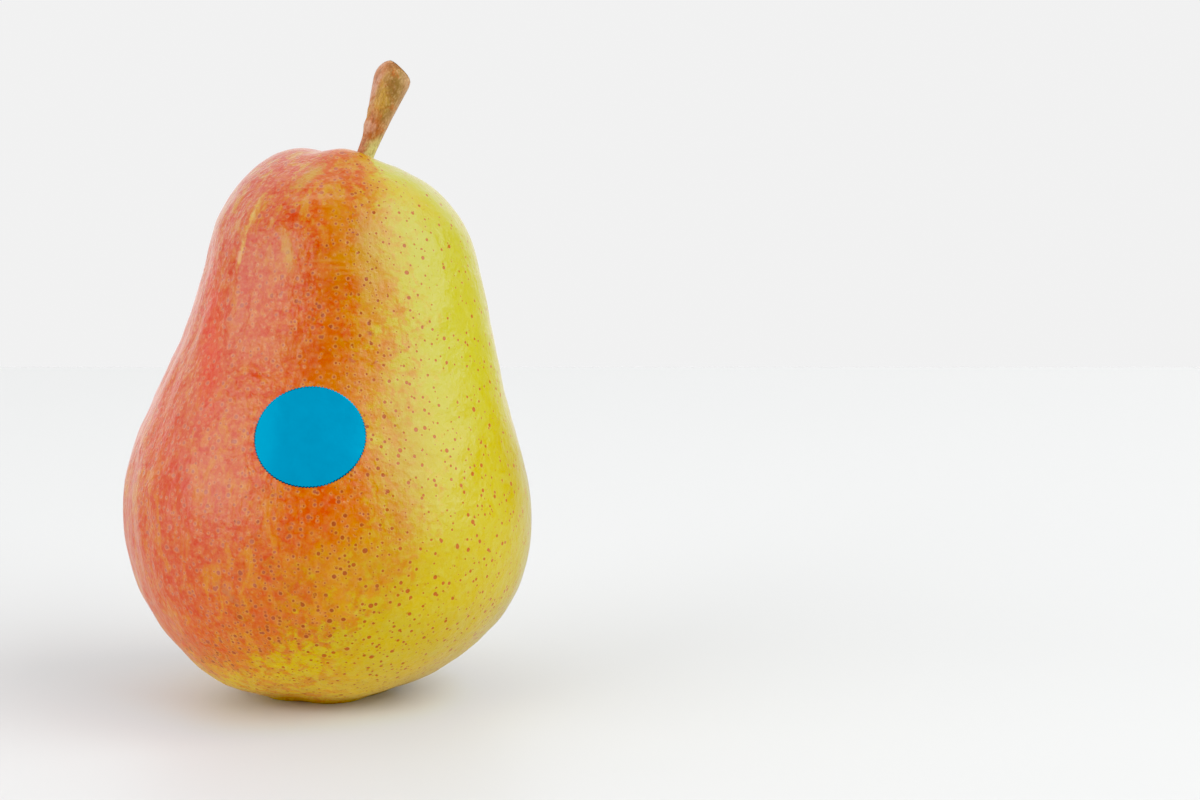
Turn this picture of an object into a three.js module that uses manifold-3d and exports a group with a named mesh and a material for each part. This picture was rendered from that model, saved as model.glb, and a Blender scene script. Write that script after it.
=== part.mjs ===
// A whole pear standing on its blossom end: the fruit, its woody stem, the dried calyx in the basin
// underneath and a small oval sticker on the skin. Millimetres, +Z up, front of the fruit towards -Y.
// The origin is on the surface that the pear stands on, under the middle of its bounding box.

import * as THREE from "three";
import { mergeVertices } from "three/addons/utils/BufferGeometryUtils.js";
import Module from "manifold-3d";

const wasm = await Module();
wasm.setup();

// ---- Driving dimensions ----

const CLEARANCE = 0.3; // between each piece and what it sits in or on

// Fruit: radius, height and lean of the skin, from the middle of the calyx basin, out over the ring
// that it stands on, up round the belly and neck, and over the crown into the stem cavity.
const FRUIT_OUTLINE = [
  [0, 6.8, -0.6],
  [3.6, 6.4, -0.6],
  [6.4, 3.4, -0.8],
  [9.2, -0.25, -1],
  [13.6, 1.1, -0.9],
  [22.6, 4.9, -0.5],
  [30.9, 12, 0.3],
  [37.2, 22, 0.8],
  [39.5, 34, 0.5],
  [37.8, 46, 0.2],
  [34, 58, 0.9],
  [29.9, 70, 2.6],
  [26.7, 82, 3.4],
  [23.5, 92, 3.4],
  [17.7, 99.4, 3.7],
  [11.1, 102.6, 4.4],
  [6, 103.1, 5.2],
  [3, 102, 5.9],
  [0, 101, 6.1],
];
const FRUIT_ROWS_PER_SPAN = 4;
const FRUIT_SEGMENTS = 64;
const FRUIT_DEPTH = 0.97; // front to back, as a share of the width
const LEAN_BEARING = THREE.MathUtils.degToRad(15); // the neck leans towards +X and a little back

// Five soft ribs round the calyx end, which fade out up the belly and towards the basin.
const RIB_COUNT = 5;
const RIB_RISE = 0.35;
const RIB_FADE_HEIGHT = 14;
const RIB_FADE_RADIUS = 9;
const RIB_PHASE = THREE.MathUtils.degToRad(20);

// Where the fruit grew fuller or slacker than its outline: the middle of each swell, how far it
// spreads and how far it lifts the skin.
const SWELLS = [
  { at: [4.7, -5.9, 104.5], spread: 4.1, rise: 2.6 }, // lip of the stem cavity, in front
  { at: [-5.8, 4.2, 103.5], spread: 7.5, rise: 2.8 }, // lip behind it on the left
  { at: [14, 6.5, 102], spread: 4, rise: 0.5 }, // low lip on the right
  { at: [17, 4.5, 100.5], spread: 7, rise: -1.5 }, // slope beyond the low lip
  { at: [9, 37, 40], spread: 15, rise: 1.1 }, // belly, behind
  { at: [-16, 26, 74], spread: 12, rise: -0.9 }, // hollow of the neck, behind
  { at: [16, -27, 62], spread: 9, rise: -0.6 }, // hollow of the waist, in front
  { at: [-8, -38, 30], spread: 12, rise: 0.6 }, // belly, in front
];

// Stem: a club that widens to a slanting end. Its middle line starts in the flesh.
const STEM_LINE = [
  [6, 1.6, 98.6],
  [8.7, 1.8, 105.5],
  [11.2, 2.2, 112.1],
  [13.65, 2.7, 118.5],
  [16.1, 3.2, 124.4],
];
const STEM_ROOT_RADIUS = 1.75;
const STEM_OUTLINE = [
  // radius, length along the middle line
  [0, 0],
  [1.2, 0],
  [STEM_ROOT_RADIUS, 0.8],
  [1.69, 6.9],
  [1.98, 10.9],
  [2.5, 14.9],
  [3.1, 18.9],
  [3.5, 21.4],
  [3.3, 23],
  [2.55, 24.3],
  [1.3, 25.2],
  [0, 25.5],
];
const STEM_ROWS_PER_SPAN = 3;
const STEM_SEGMENTS = 24;
const STEM_RIDGES = 3;
const STEM_RIDGE_DEPTH = 0.12;
const STEM_SCARS = [
  // old bud scars on the side that faces -X
  { at: [7.6, 1, 108.8], spread: 0.9, rise: 0.25 },
  { at: [9.2, 0.4, 113.4], spread: 0.9, rise: 0.25 },
];
const STEM_CUT_LENGTH = 24.1; // where the slanting end crosses the middle line
const STEM_CUT_FACING = [0.72, 0.2, 0.66];
const STEM_SOCKET_LENGTH = 6.4; // from the root to clear of the skin

// Calyx: a short cup set in the floor of the basin, with five dried sepals and the ends of stamens.
const CALYX_CENTRE = [-0.6, -0.16];
const CALYX_PLUG_RADIUS = 2;
const CALYX_PLUG_TOP = 7.9;
const CALYX_FLARE_RADIUS = 2.6;
const CALYX_FLARE_TOP = 6;
const CALYX_RIM_HEIGHT = 4.9;
const CALYX_MOUTH_RADIUS = 1.5;
const CALYX_MOUTH_DEPTH = 0.9;
const SEPAL_COUNT = 5;
const SEPAL_LENGTH = 4.2;
const SEPAL_WIDTH = 2.7;
const SEPAL_THICKNESS = 0.65;
const SEPAL_SPREAD = 1.5; // how far the tips stand out from the rim
const STAMEN_COUNT = 7;
const STAMEN_LENGTH = 2.1;
const STAMEN_RADIUS = 0.28;

// Sticker: a thin oval label that follows the skin.
const STICKER_LENGTH = 20.6;
const STICKER_HEIGHT = 19;
const STICKER_THICKNESS = 0.4;
const STICKER_AT = [-2.95, 55.3]; // x and height of its middle, on the front
const STICKER_YAW = THREE.MathUtils.degToRad(-7); // faces a little to -X
const STICKER_PITCH = THREE.MathUtils.degToRad(17); // and up
const STICKER_ROLL = THREE.MathUtils.degToRad(6); // its long axis rises towards +X
const STICKER_RINGS = 7;
const STICKER_SEGMENTS = 48;

const UP = new THREE.Vector3(0, 0, 1);

// ---- Solids ----

// A geometry as a solid, with the points that share a place made one.
function solidOf(geometry) {
  const bare = new THREE.BufferGeometry();
  bare.setAttribute("position", geometry.getAttribute("position"));
  bare.setIndex(geometry.index);
  const merged = mergeVertices(bare, 1e-3);
  const mesh = new wasm.Mesh({
    numProp: 3,
    vertProperties: merged.getAttribute("position").array,
    triVerts: new Uint32Array(merged.index.array),
  });
  return new wasm.Manifold(mesh);
}

function geometryOf(solid) {
  const mesh = solid.getMesh();
  const geometry = new THREE.BufferGeometry();
  geometry.setAttribute("position", new THREE.BufferAttribute(mesh.vertProperties, 3));
  geometry.setIndex(new THREE.BufferAttribute(mesh.triVerts, 1));
  geometry.computeVertexNormals();
  return geometry;
}

// A smooth curve through points of two or three numbers, as evenly spread rows.
function rowsThrough(points, rowsPerSpan) {
  const vectors = points.map(([x, y, z = 0]) => new THREE.Vector3(x, y, z));
  const curve = new THREE.CatmullRomCurve3(vectors, false, "catmullrom", 0.5);
  return curve.getPoints((points.length - 1) * rowsPerSpan);
}

// A body turned round the Z axis from rows of radius and height.
function turned(rows, segments) {
  const profile = rows.map((row) => new THREE.Vector2(Math.max(row.x, 0), row.y));
  return new THREE.LatheGeometry(profile, segments).rotateX(Math.PI / 2);
}

// Calls move(point, index) for each vertex of a geometry and keeps what it does to the point.
function moveVertices(geometry, move) {
  const position = geometry.getAttribute("position");
  const point = new THREE.Vector3();
  for (let index = 0; index < position.count; index += 1) {
    point.fromBufferAttribute(position, index);
    move(point, index);
    position.setXYZ(index, point.x, point.y, point.z);
  }
  return geometry;
}

// How far a set of swells lifts the skin at a point.
function swellAt(point, swells) {
  return swells.reduce((sum, { at, spread, rise }) => {
    const distance = point.distanceTo(new THREE.Vector3(...at));
    return sum + rise * Math.exp(-(distance ** 2) / (2 * spread ** 2));
  }, 0);
}

function ribAt(point, radius) {
  const angle = Math.atan2(point.y, point.x);
  const fade = Math.exp(-((point.z / RIB_FADE_HEIGHT) ** 2)) * Math.min(1, (radius / RIB_FADE_RADIUS) ** 2);
  return RIB_RISE * fade * Math.cos(RIB_COUNT * angle + RIB_PHASE);
}

// ---- Fruit ----

function fruitSkin() {
  const rows = rowsThrough(FRUIT_OUTLINE, FRUIT_ROWS_PER_SPAN);
  const geometry = turned(rows, FRUIT_SEGMENTS);
  const normal = geometry.getAttribute("normal");
  const outward = new THREE.Vector3();
  return moveVertices(geometry, (point, index) => {
    const row = rows[index % rows.length];
    const onAxis = row.x < 0.01;
    outward.fromBufferAttribute(normal, index);
    if (onAxis) outward.copy(UP).multiplyScalar(Math.sign(outward.z));
    const rib = ribAt(point, row.x);
    point.y *= FRUIT_DEPTH;
    point.x += row.z;
    point.y += row.z * Math.tan(LEAN_BEARING);
    const lift = rib + swellAt(point, SWELLS);
    point.addScaledVector(outward, lift);
    point.z = Math.max(point.z, 0);
  });
}

// The hole that the root of the stem grows out of, along the stem's own line.
function stemSocket(stemLine) {
  const tangent = stemLine.getTangentAt(0);
  const radius = STEM_ROOT_RADIUS + CLEARANCE;
  const socket = new THREE.CylinderGeometry(radius, radius, STEM_SOCKET_LENGTH, STEM_SEGMENTS);
  socket.rotateX(Math.PI / 2);
  socket.applyQuaternion(new THREE.Quaternion().setFromUnitVectors(UP, tangent));
  const middle = stemLine.getPointAt(0).addScaledVector(tangent, STEM_SOCKET_LENGTH / 2 - CLEARANCE);
  return solidOf(socket.translate(middle.x, middle.y, middle.z));
}

function calyxSocket() {
  const radius = CALYX_PLUG_RADIUS + CLEARANCE;
  const height = CALYX_PLUG_TOP + CLEARANCE - CALYX_RIM_HEIGHT;
  const socket = new THREE.CylinderGeometry(radius, radius, height, STEM_SEGMENTS).rotateX(Math.PI / 2);
  return solidOf(socket.translate(...CALYX_CENTRE, CALYX_RIM_HEIGHT + height / 2));
}

function fruitGeometry(skin, stemLine) {
  return geometryOf(solidOf(skin).subtract(stemSocket(stemLine)).subtract(calyxSocket()));
}

// ---- Stem ----

function stemGeometry(stemLine) {
  const rows = rowsThrough(STEM_OUTLINE, STEM_ROWS_PER_SPAN);
  const geometry = turned(rows, STEM_SEGMENTS);
  const lineLength = stemLine.getLength();
  const tangentTurn = new THREE.Quaternion();
  moveVertices(geometry, (point) => {
    const angle = Math.atan2(point.y, point.x);
    const radius = Math.hypot(point.x, point.y);
    const along = Math.min(Math.max(point.z / lineLength, 0), 1);
    const ridge = 1 + (STEM_RIDGE_DEPTH / STEM_RIDGES) * Math.cos(STEM_RIDGES * angle + 4 * along);
    tangentTurn.setFromUnitVectors(UP, stemLine.getTangentAt(along));
    point.set(radius * ridge * Math.cos(angle), radius * ridge * Math.sin(angle), 0);
    const across = point.applyQuaternion(tangentTurn).clone();
    point.add(stemLine.getPointAt(along));
    if (radius > 0) point.addScaledVector(across.normalize(), swellAt(point, STEM_SCARS));
  });
  return geometryOf(solidOf(geometry).subtract(stemCut(stemLine)));
}

// A block that takes the end of the stem off at a slant.
function stemCut(stemLine) {
  const size = 20;
  const facing = new THREE.Vector3(...STEM_CUT_FACING).normalize();
  const middle = stemLine.getPointAt(STEM_CUT_LENGTH / stemLine.getLength());
  const block = new THREE.BoxGeometry(size, size, size).translate(0, 0, size / 2);
  block.applyQuaternion(new THREE.Quaternion().setFromUnitVectors(UP, facing));
  return solidOf(block.translate(middle.x, middle.y, middle.z));
}

// ---- Calyx ----

function calyxCup() {
  const mouthFloor = CALYX_RIM_HEIGHT + CALYX_MOUTH_DEPTH;
  const rows = [
    [0, mouthFloor],
    [CALYX_MOUTH_RADIUS, mouthFloor],
    [CALYX_MOUTH_RADIUS + 0.3, CALYX_RIM_HEIGHT],
    [CALYX_FLARE_RADIUS, CALYX_RIM_HEIGHT + 0.3],
    [CALYX_FLARE_RADIUS, CALYX_FLARE_TOP - 0.2],
    [CALYX_PLUG_RADIUS, CALYX_FLARE_TOP],
    [CALYX_PLUG_RADIUS, CALYX_PLUG_TOP],
    [0, CALYX_PLUG_TOP],
  ];
  return solidOf(turned(rows.map(([x, y]) => new THREE.Vector2(x, y)), STEM_SEGMENTS));
}

// One dried sepal: a blade that leaves the rim downwards, spreads and curls in at its tip.
function sepal(number) {
  const lengthSteps = 8;
  const widthSteps = 4;
  const blade = new THREE.BoxGeometry(
    SEPAL_WIDTH, SEPAL_LENGTH, SEPAL_THICKNESS, widthSteps, lengthSteps, 1,
  );
  const turn = (2 * Math.PI * number) / SEPAL_COUNT + 0.25 * Math.sin(3 * number);
  const curl = 0.8 + 0.35 * Math.cos(2 * number);
  moveVertices(blade, (point) => {
    const along = point.y / SEPAL_LENGTH + 0.5;
    const across = -point.x * (1 - 0.85 * along ** 1.6);
    const fold = 0.18 * across ** 2;
    const out = CALYX_MOUTH_RADIUS + 0.5 + SEPAL_SPREAD * Math.sin(Math.PI * curl * along) - fold;
    const drop = CALYX_RIM_HEIGHT + 0.7 - SEPAL_LENGTH * along * (1 - 0.25 * along);
    point.set(out + point.z, across, drop);
  });
  return solidOf(blade.rotateZ(turn));
}

function stamen(number) {
  const turn = (2 * Math.PI * number) / STAMEN_COUNT;
  const lean = 0.25 + 0.15 * Math.sin(5 * number);
  const shaft = new THREE.CylinderGeometry(STAMEN_RADIUS, 0.6 * STAMEN_RADIUS, STAMEN_LENGTH, 6);
  shaft.rotateX(Math.PI / 2).rotateY(lean).translate(0.55 * CALYX_MOUTH_RADIUS, 0, 0).rotateZ(turn);
  return solidOf(shaft.translate(0, 0, CALYX_RIM_HEIGHT + CALYX_MOUTH_DEPTH + 0.3 - STAMEN_LENGTH / 2));
}

function calyxGeometry() {
  let calyx = calyxCup();
  for (let number = 0; number < SEPAL_COUNT; number += 1) calyx = calyx.add(sepal(number));
  for (let number = 0; number < STAMEN_COUNT; number += 1) calyx = calyx.add(stamen(number));
  return geometryOf(calyx).translate(...CALYX_CENTRE, 0);
}

// ---- Sticker ----

// A flat oval disc, laid on the skin by dropping each of its points along the sticker's own facing.
function stickerGeometry(skin) {
  const shares = Array.from({ length: STICKER_RINGS + 1 }, (_, ring) => ring / STICKER_RINGS);
  const underside = shares.map((share) => new THREE.Vector2(share, 0));
  const face = shares.toReversed().map((share) => new THREE.Vector2(share, 1));
  const profile = [...underside, ...face];
  const disc = turned(profile, STICKER_SEGMENTS).scale(STICKER_LENGTH / 2, STICKER_HEIGHT / 2, 0);
  disc.rotateZ(STICKER_ROLL).rotateX(Math.PI / 2 - STICKER_PITCH).rotateZ(STICKER_YAW);

  const skinMesh = new THREE.Mesh(skin);
  const caster = new THREE.Raycaster();
  const skinFrom = (start, direction) => {
    caster.set(start, direction);
    return caster.intersectObject(skinMesh)[0].point;
  };
  const [x, height] = STICKER_AT;
  const middle = skinFrom(new THREE.Vector3(x, -100, height), new THREE.Vector3(0, 1, 0));
  const facing = new THREE.Vector3(0, -Math.cos(STICKER_PITCH), Math.sin(STICKER_PITCH));
  facing.applyAxisAngle(UP, STICKER_YAW);
  const inward = facing.clone().negate();
  return moveVertices(disc, (point, index) => {
    const onFace = index % profile.length >= underside.length;
    const lift = CLEARANCE + (onFace ? STICKER_THICKNESS : 0);
    point.add(middle).addScaledVector(facing, STICKER_LENGTH);
    point.copy(skinFrom(point.clone(), inward)).addScaledVector(facing, lift);
  });
}

// ---- The pear ----

function piece(name, geometry, colour, roughness) {
  const material = new THREE.MeshStandardMaterial({ color: colour, roughness, metalness: 0 });
  const mesh = new THREE.Mesh(geometry, material);
  mesh.name = name;
  return mesh;
}

const stemLine = new THREE.CatmullRomCurve3(STEM_LINE.map((point) => new THREE.Vector3(...point)));
const skin = fruitSkin();
const pear = new THREE.Group();
pear.add(
  piece("fruit", fruitGeometry(skin, stemLine), 0xd8953c, 0.4),
  piece("stem", stemGeometry(stemLine), 0x9c7440, 0.75),
  piece("calyx", calyxGeometry(), 0x3e2a1c, 0.9),
  piece("sticker", stickerGeometry(skin), 0x0098cd, 0.35),
);

const box = new THREE.Box3().setFromObject(pear, true);
const middle = box.getCenter(new THREE.Vector3());
pear.position.set(-middle.x, -middle.y, -box.min.z);

export default pear;
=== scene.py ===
"""A whole pear for a fruit bowl or a still life: the skin, the woody stem, the dried calyx in the
basin underneath and a small oval label. Each piece is modelled in millimetres round the core of
the fruit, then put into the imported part's frame in metres. The front of the pear faces -Y.
"""

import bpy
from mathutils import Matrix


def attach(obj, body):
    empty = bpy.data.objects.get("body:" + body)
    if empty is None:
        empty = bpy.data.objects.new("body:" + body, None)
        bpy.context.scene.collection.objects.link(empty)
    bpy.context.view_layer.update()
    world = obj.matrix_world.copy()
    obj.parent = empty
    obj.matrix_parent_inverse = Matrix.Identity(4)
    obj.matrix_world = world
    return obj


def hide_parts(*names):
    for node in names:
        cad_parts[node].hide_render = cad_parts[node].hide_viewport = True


bl_info = {
    "name": "Pear",
    "version": (1, 0, 0),
    "blender": (4, 5, 0),
    "location": "3D Viewport > Sidebar > Pear",
    "description": "Builds a whole pear with its stem, calyx and a plain fruit label",
    "category": "Add Mesh",
}

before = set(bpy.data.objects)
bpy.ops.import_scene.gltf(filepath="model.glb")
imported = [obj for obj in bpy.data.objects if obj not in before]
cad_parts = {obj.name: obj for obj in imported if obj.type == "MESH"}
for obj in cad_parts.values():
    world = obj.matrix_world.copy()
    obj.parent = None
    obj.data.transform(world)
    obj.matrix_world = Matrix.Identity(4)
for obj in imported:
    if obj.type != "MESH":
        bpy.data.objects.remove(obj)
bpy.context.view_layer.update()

import math
from functools import partial

import bmesh
import bpy
from mathutils import Matrix, Vector, noise
from mathutils.bvhtree import BVHTree

MM = 0.001
TURN = 2 * math.pi
UP = Vector((0, 0, 1))
MERGE_WITHIN = 1e-4  # points closer than this become one
CORE = Vector((0.495, 0.365, 0))  # the frame's origin, seen from the core of the fruit, in mm

# ---- Shapes, in millimetres ----

# Radius, height and lean of the skin, from the middle of the basin to the stem cavity.
FRUIT_OUTLINE = [
    (0, 6.8, -0.6),
    (3.6, 6.4, -0.6),
    (6.4, 3.4, -0.8),
    (9.2, -0.25, -1),
    (13.6, 1.1, -0.9),
    (22.6, 4.9, -0.5),
    (30.9, 12, 0.3),
    (37.2, 22, 0.8),
    (39.5, 34, 0.5),
    (37.8, 46, 0.2),
    (34, 58, 0.9),
    (29.9, 70, 2.6),
    (26.7, 82, 3.4),
    (23.5, 92, 3.4),
    (17.7, 99.4, 3.7),
    (11.1, 102.6, 4.4),
    (6, 103.1, 5.2),
    (3, 102, 5.9),
    (0, 101, 6.1),
]
FRUIT_ROWS_PER_SPAN = 15
FRUIT_SEGMENTS = 336
FRUIT_DEPTH = 0.97  # front to back, as a share of the width
FRUIT_POLE_RADIUS = 0.01  # within this the skin faces straight up or down
LEAN_DIRECTION = Vector((1, math.tan(math.radians(15)), 0))

RIB_COUNT = 5
RIB_RISE = 0.35
RIB_FADE_HEIGHT = 14
RIB_FADE_RADIUS = 9
RIB_PHASE = math.radians(20)

# Where the fruit grew fuller or slacker than its outline: middle, spread and rise.
FRUIT_SWELLS = [
    ((4.7, -5.9, 104.5), 4.1, 2.6),  # lip of the stem cavity, in front
    ((-5.8, 4.2, 103.5), 7.5, 2.8),  # lip behind it on the left
    ((14, 6.5, 102), 4, 0.5),  # low lip on the right
    ((17, 4.5, 100.5), 7, -1.5),  # slope beyond the low lip
    ((9, 37, 40), 15, 1.1),  # belly, behind
    ((-16, 26, 74), 12, -0.9),  # hollow of the neck, behind
    ((16, -27, 62), 9, -0.6),  # hollow of the waist, in front
    ((-8, -38, 30), 12, 0.6),  # belly, in front
    ((-35.3, -16.4, 41.1), 1.4, 0.22),  # healed fold, from its upper end
    ((-35.1, -17.2, 37.3), 1.4, 0.3),
    ((-34.6, -18, 33.6), 1.4, 0.3),
    ((-34.1, -18.7, 30.1), 1.4, 0.22),
]
# The uneven growth of the flesh and the faint orange peel of the skin: wavelength and rise.
FRUIT_RELIEF = [(17, 0.3), (6.5, 0.16), (3.2, 0.07)]
# The folds that the sunned side dried into, which run along the fruit: size, and rise in all.
FRUIT_FOLD_SIZE = Vector((3.6, 3.6, 12))
FRUIT_FOLD_RISE = 0.3
FRUIT_FOLD_START = 0.35  # cosine of the angle to the sun at which they begin
FRUIT_FOLD_FADE = 0.4  # and how much higher it is where they are full

# Broad soft patches of the blush: two ends and half the width of each, its colour and share.
PATCHES = [
    ((10.9, -18, 96.2), (10.9, -24.6, 80.1), 2.4, "B08426", 0.55),
    ((-1.5, -25, 81.7), (6.5, -25.1, 81.7), 2.4, "AA480C", 0.6),
    ((1.9, -24, 86.9), (7, -23.7, 86.9), 1.3, "AC7812", 0.7),
    ((6.4, -21.2, 93.3), (6.7, -23.1, 89), 1.6, "A06A10", 0.6),
    ((-5, -27.9, 69.6), (0.5, -28.3, 70.5), 3, "A44A10", 0.55),
    ((-1, -30.3, 64.8), (4.8, -29.9, 65.1), 2.2, "A8640A", 0.6),
    ((-5.3, -37.8, 41.6), (2.8, -37.6, 43.3), 5, "B84208", 0.55),
    ((2.7, -38.6, 31.5), (8.1, -37.9, 33.1), 4.5, "AC7A08", 0.5),
    ((-29.4, -25.5, 31.4), (-25.4, -29.4, 39.5), 6.5, "B4381C", 0.45),
    ((-12.1, -35.9, 25.7), (-11.5, -32.2, 17.4), 1.6, "BC4A18", 0.5),
    ((-21.3, -11.7, 80), (-22, -22.1, 62.5), 2.6, "C62C16", 0.75),
    ((-31.6, -13, 57), (-28, -25, 45), 4.6, "BE3014", 0.45),
    ((1.9, -17, 99), (2.3, -22, 92.3), 2, "B07C1A", 0.6),
    ((12, -14, 99.4), (19, -13.4, 95.4), 2, "B8920E", 0.65),
    ((13, -29.5, 60), (12, -36, 34), 4.4, "A06800", 0.6),
    ((-17.4, -26.5, 11.6), (-11.6, -22, 5.6), 2.6, "B86420", 0.45),
    ((8.5, -22.4, 90.1), (8, -25.5, 79.3), 1.8, "AA8A30", 0.6),
]

# Marks on the skin: two ends and half the width of each, its colour and how much of it shows.
MARKS = [
    ((-11.7, -12.9, 96.9), (-13.4, -14.1, 93.2), 0.7, "C09A44", 0.45),  # healed rub, wide end
    ((-12.4, -13.4, 95.4), (-14, -14.8, 91.4), 0.5, "CBA650", 0.5),  # and its narrow end
    ((-14.7, -15.4, 89.4), (-16.2, -16.6, 85.5), 0.45, "CBA650", 0.6),
    ((-15.7, -15.8, 87.6), (-16, -16, 86.6), 0.55, "C8886A", 0.7),
    ((-19.5, -32.9, 27.2), (-17.6, -33.4, 25.2), 0.75, "A4683E", 0.7),  # healed scratch
    ((-4.6, -14.4, 99.8), (-0.9, -11, 102.9), 1.3, "A8852C", 0.6),
    ((-7.4, -20.4, 91), (-6.6, -22.6, 85.6), 1, "B08A30", 0.5),
    ((-5.5, -16.6, 97.3), (1.8, -18, 97.8), 0.6, "CC9668", 0.34),
    ((-1.1, -24.2, 85.3), (6.5, -24, 85.1), 0.3, "BC8A3C", 0.28),  # twig rubs
    ((0.6, -24.4, 84.1), (8.6, -24.2, 84.4), 0.28, "BC8A48", 0.28),
    ((-3.4, -24.2, 86.4), (2.5, -24, 86.6), 0.25, "BC8A48", 0.3),
    ((7.7, -26.9, 73.5), (8.2, -26.9, 73.3), 0.42, "93451E", 0.9),  # large pores
    ((4.4, -28.8, 68.6), (4.8, -28.8, 68.4), 0.4, "9A5033", 0.8),
    ((8.4, -28.1, 67.9), (8.8, -28.1, 68), 0.32, "93451E", 0.9),
    ((-2.2, -0.2, 5.8), (1, -0.2, 5.8), 2.6, "80602E", 0.75),  # russet round the calyx
]

MARK_DEPTH = 2  # so that a long mark follows the curve of the surface

STEM_LINE = [
    (6, 1.6, 98.6),
    (8.7, 1.8, 105.5),
    (11.2, 2.2, 112.1),
    (13.65, 2.7, 118.5),
    (16.1, 3.2, 124.4),
]
STEM_OUTLINE = [  # radius, length along the middle line
    (0, 0),
    (1.2, 0),
    (1.75, 0.8),
    (1.69, 6.9),
    (1.98, 10.9),
    (2.5, 14.9),
    (3.1, 18.9),
    (3.5, 21.4),
    (3.3, 23),
    (2.55, 24.3),
    (1.3, 25.2),
    (0, 25.5),
]
STEM_LINE_ROWS_PER_SPAN = 24
STEM_TILT = 0.37  # radians that its bark is tilted to the right
STEM_ROWS_PER_SPAN = 12
STEM_SEGMENTS = 72
STEM_RIDGES = 3
STEM_RIDGE_SHARE = 0.04
STEM_TWIST = 4  # radians that the ridges' waves shift over the twist length
STEM_TWIST_LENGTH = 26
STEM_SCARS = [  # scars of fallen buds: middle, spread and rise
    ((8.2, 0.4, 110.3), 0.75, 0.5),
    ((8.9, 0.2, 112.4), 0.6, -0.3),
    ((7.6, 0.4, 108), 0.6, -0.25),
    ((8.7, 1, 113.2), 0.7, 0.3),
    ((10.6, 0.3, 118.6), 0.8, 0.15),
]
STEM_MARKS = [
    ((6, 0.2, 102), (7.6, 0, 107.4), 1.6, "A05A38", 0.8),  # sunned foot
    ((9.7, 0, 102.5), (9.9, 0, 106.2), 1.3, "C2BC72", 0.9),  # green foot, with a painted pale highlight
    ((8.8, -0.2, 111.4), (9.2, -0.4, 108.4), 0.9, "9C4C14", 0.8),  # rim of the bud scar
    ((7.9, 0.2, 109.3), (8.3, 0, 110.6), 0.7, "BC8A70", 0.9),  # painted highlight on the bud scar
    ((12.2, -0.8, 114), (13.8, -1, 118.4), 1.4, "7C6024", 0.55),
    ((10.2, -0.4, 113), (10.8, -0.4, 117.5), 0.55, "B48A2C", 0.6),
    ((10.4, 1, 119.6), (12.3, 0.4, 121.8), 0.9, "A65C24", 0.6),
    ((12.8, 0, 122.4), (15.2, 0.4, 120.4), 0.7, "7A4A1A", 0.7),
]
STEM_FISSURES = [(0.9, 7, 0.16), (0.45, 3, 0.06)]  # width, length and depth of the bark's furrows
STEM_FISSURE_RADIUS = 3  # radius at which the furrows have that width
STEM_CUT_LENGTH = 24.1
STEM_CUT_FACING = Vector((0.72, 0.2, 0.66)).normalized()
STEM_CUT_ROUNDING = 0.22

CALYX_CENTRE = Vector((-0.6, -0.16, 0))
CALYX_CUP = [  # radius, height
    (0, 5.8),
    (1.3, 5.75),
    (1.55, 5.2),
    (1.8, 4.9),
    (2.3, 4.95),
    (2.6, 5.3),
    (2.5, 5.9),
    (2, 6.3),
    (2, 7.6),
    (0, 7.9),
]
CALYX_CUP_SEGMENTS = 48
CALYX_RIM_RADIUS = 2.0
CALYX_RIM_HEIGHT = 5.6
SEPAL_COUNT = 5
SEPAL_SEGMENTS = (8, 14)  # across and along
SEPAL_LENGTH = 4.2
SEPAL_WIDTH = 2.7
SEPAL_TAPER = (0.85, 1.6)  # share of the width lost at the tip, and how late it is lost
SEPAL_THICKNESS = 0.35
SEPAL_SPREAD = 1.5
SEPAL_CURL = (0.8, 0.35)  # in half turns, and how much it differs between sepals
SEPAL_STRAY = 0.25  # radians from its even place round the rim
SEPAL_HOLLOW = 0.18  # how much the sides turn in, per mm squared
SEPAL_TIP_RISE = 0.25  # share of the length that the tip turns up again
SEPAL_CRUMPLE = 0.35
SEPAL_CRUMPLE_WAVES = Vector((3, 4, 7))  # across, along and from sepal to sepal
STAMEN_COUNT = 9
STAMEN_LENGTH = 2.1
STAMEN_RADIUS = 0.16
STAMEN_FLARE = 1.5  # radius of the foot, as a share of the tip's
STAMEN_SEGMENTS = 8
STAMEN_LEAN = (0.25, 0.2)  # radians, and how much it differs between stamens
STAMEN_RING_RADIUS = 0.9
STAMEN_RING_HEIGHT = 5

LABEL_AT = (-2.95, 55.3)  # x and height of its middle, on the front
LABEL_YAW = math.radians(-7)
LABEL_PITCH = math.radians(17)
LABEL_ROLL = math.radians(6)
LABEL_RINGS = 26
LABEL_TEETH = 100  # of the edge that the die cut leaves
LABEL_TOOTH_DEPTH = 0.2
LABEL_LIFT = 0.05
# The rim is darkened by the bared glue and by painted shadow under the label's edge.
LABEL_RIM_SHADOW_AND_GLUE = (0.75, 1, -0.3)  # on the rim: everywhere, in patches, and more at the lower edge
LABEL_AIM_START = -100  # y from which its middle is sought, in front of the fruit
LABEL_DROP = 30  # height above the skin's middle from which it is laid down

# The eye of the camera and the point that it looks at, in mm in the part's frame.
CAMERA_AT = Vector((-0.495, -545.37, 133.56))
CAMERA_AIM = Vector((52.905, -0.365, 56.6))
CAMERA_LENS = 85
CAMERA_CLIP = 10  # nothing nearer than this is seen
FLOOR_BACK = 496  # mm behind the pear
FLOOR_FRONT = -1200
FLOOR_HALF_WIDTH = 2200
FLOOR_SEGMENTS = 8
FLOOR_DROP = 0.03
# Light in the scene and how bright it is shown: as it is at first, then with a soft shoulder.
TONE_CURVE = [(0.03, 0), (0.5, 0.485), (0.65, 0.62), (0.8, 0.71), (0.95, 0.83), (1.1, 0.96)]

SOFTBOX_AIM = Vector((0, 0, 0.06))  # the middle of the pear, in metres
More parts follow.
